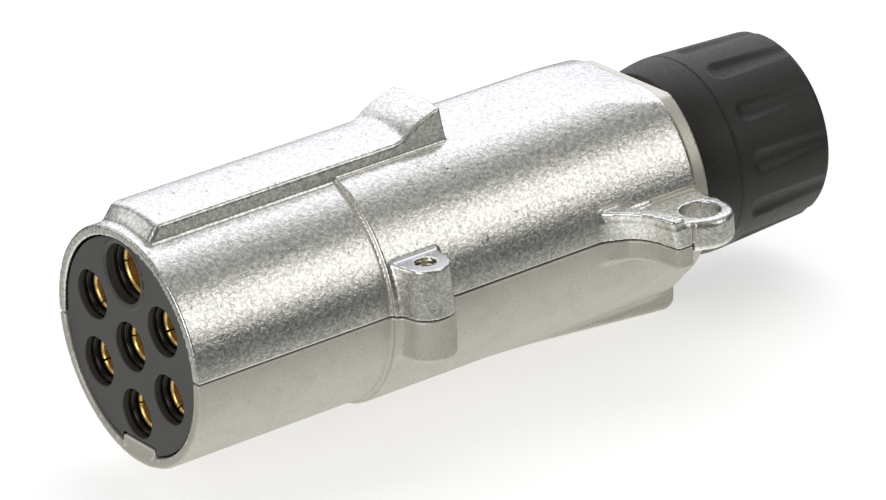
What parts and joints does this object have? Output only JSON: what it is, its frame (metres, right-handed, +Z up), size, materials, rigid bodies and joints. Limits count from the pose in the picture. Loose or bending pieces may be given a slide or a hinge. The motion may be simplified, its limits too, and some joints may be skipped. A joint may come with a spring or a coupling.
{
  "type": "trailer wiring connector",
  "caption": "Cast-metal round trailer wiring plug with a coding ridge, latch hook, side eyelets, socket contacts and a fluted plastic gland nut.",
  "frame": {"origin": "bottom centre of the whole plug, under the foot", "axes": "+X from the mating face to the gland nut, +Z up through the coding ridge and latch hook, +Y to the right eyelet"},
  "size_m": [0.1376, 0.0704, 0.0525],
  "materials": {
    "shell_upper": "bright speckled tumbled casting",
    "shell_lower": "fine matte casting",
    "insert": "satin moulded plastic",
    "contact": "bright turned brass",
    "terminal_screw": "yellow zinc plate",
    "housing_screw": "yellow zinc plate",
    "lock_washer": "satin zinc plate",
    "seal": "matte moulded rubber",
    "slip_ring": "smooth plastic",
    "gland_nut": "fine-textured black plastic"
  },
  "bodies": {
    "shell": {"upper_shell": "shell_upper", "lower_shell": "shell_lower", "contact_insert": "insert", "contact_1": "contact", "contact_2": "contact", "contact_3": "contact", "contact_4": "contact", "contact_5": "contact", "contact_6": "contact", "contact_7": "contact", "terminal_screw_1": "terminal_screw", "terminal_screw_2": "terminal_screw", "terminal_screw_3": "terminal_screw", "terminal_screw_4": "terminal_screw", "terminal_screw_5": "terminal_screw", "terminal_screw_6": "terminal_screw", "terminal_screw_7": "terminal_screw", "cable_seal": "seal"},
    "slip_ring": {"slip_ring": "slip_ring"},
    "gland_nut": {"gland_nut": "gland_nut"},
    "lock_washer_left": {"lock_washer_left": "lock_washer"},
    "housing_screw_left": {"housing_screw_left": "housing_screw"},
    "lock_washer_right": {"lock_washer_right": "lock_washer"},
    "housing_screw_right": {"housing_screw_right": "housing_screw"}
  },
  "joints": [
    {"name": "gland_slide", "type": "slide", "parent": "shell", "child": "slip_ring", "axis": [1, 0, 0], "range_m": [0, 0.0091]},
    {"name": "gland_turn", "type": "hinge", "parent": "slip_ring", "child": "gland_nut", "pos_m": [0.06185, 0, 0.02399], "axis": [1, 0, 0], "range_deg": [0, 1080]},
    {"name": "screw_slide_left", "type": "slide", "parent": "shell", "child": "lock_washer_left", "axis": [0, 0, -1], "range_m": [0, 0.0063]},
    {"name": "screw_turn_left", "type": "hinge", "parent": "lock_washer_left", "child": "housing_screw_left", "pos_m": [-0.02395, -0.0237, 0.01889], "axis": [0, 0, -1], "range_deg": [0, 3241]},
    {"name": "screw_slide_right", "type": "slide", "parent": "shell", "child": "lock_washer_right", "axis": [0, 0, -1], "range_m": [0, 0.0063]},
    {"name": "screw_turn_right", "type": "hinge", "parent": "lock_washer_right", "child": "housing_screw_right", "pos_m": [-0.02395, 0.0237, 0.01889], "axis": [0, 0, -1], "range_deg": [0, 3241]}
  ],
  "couplings": [
    {"joint": "gland_slide", "follows": "gland_turn", "m_per_rad": 0.00047746},
    {"joint": "screw_turn_left", "follows": "screw_slide_left", "rad_per_m": 8976},
    {"joint": "screw_turn_right", "follows": "screw_slide_right", "rad_per_m": 8976}
  ]
}
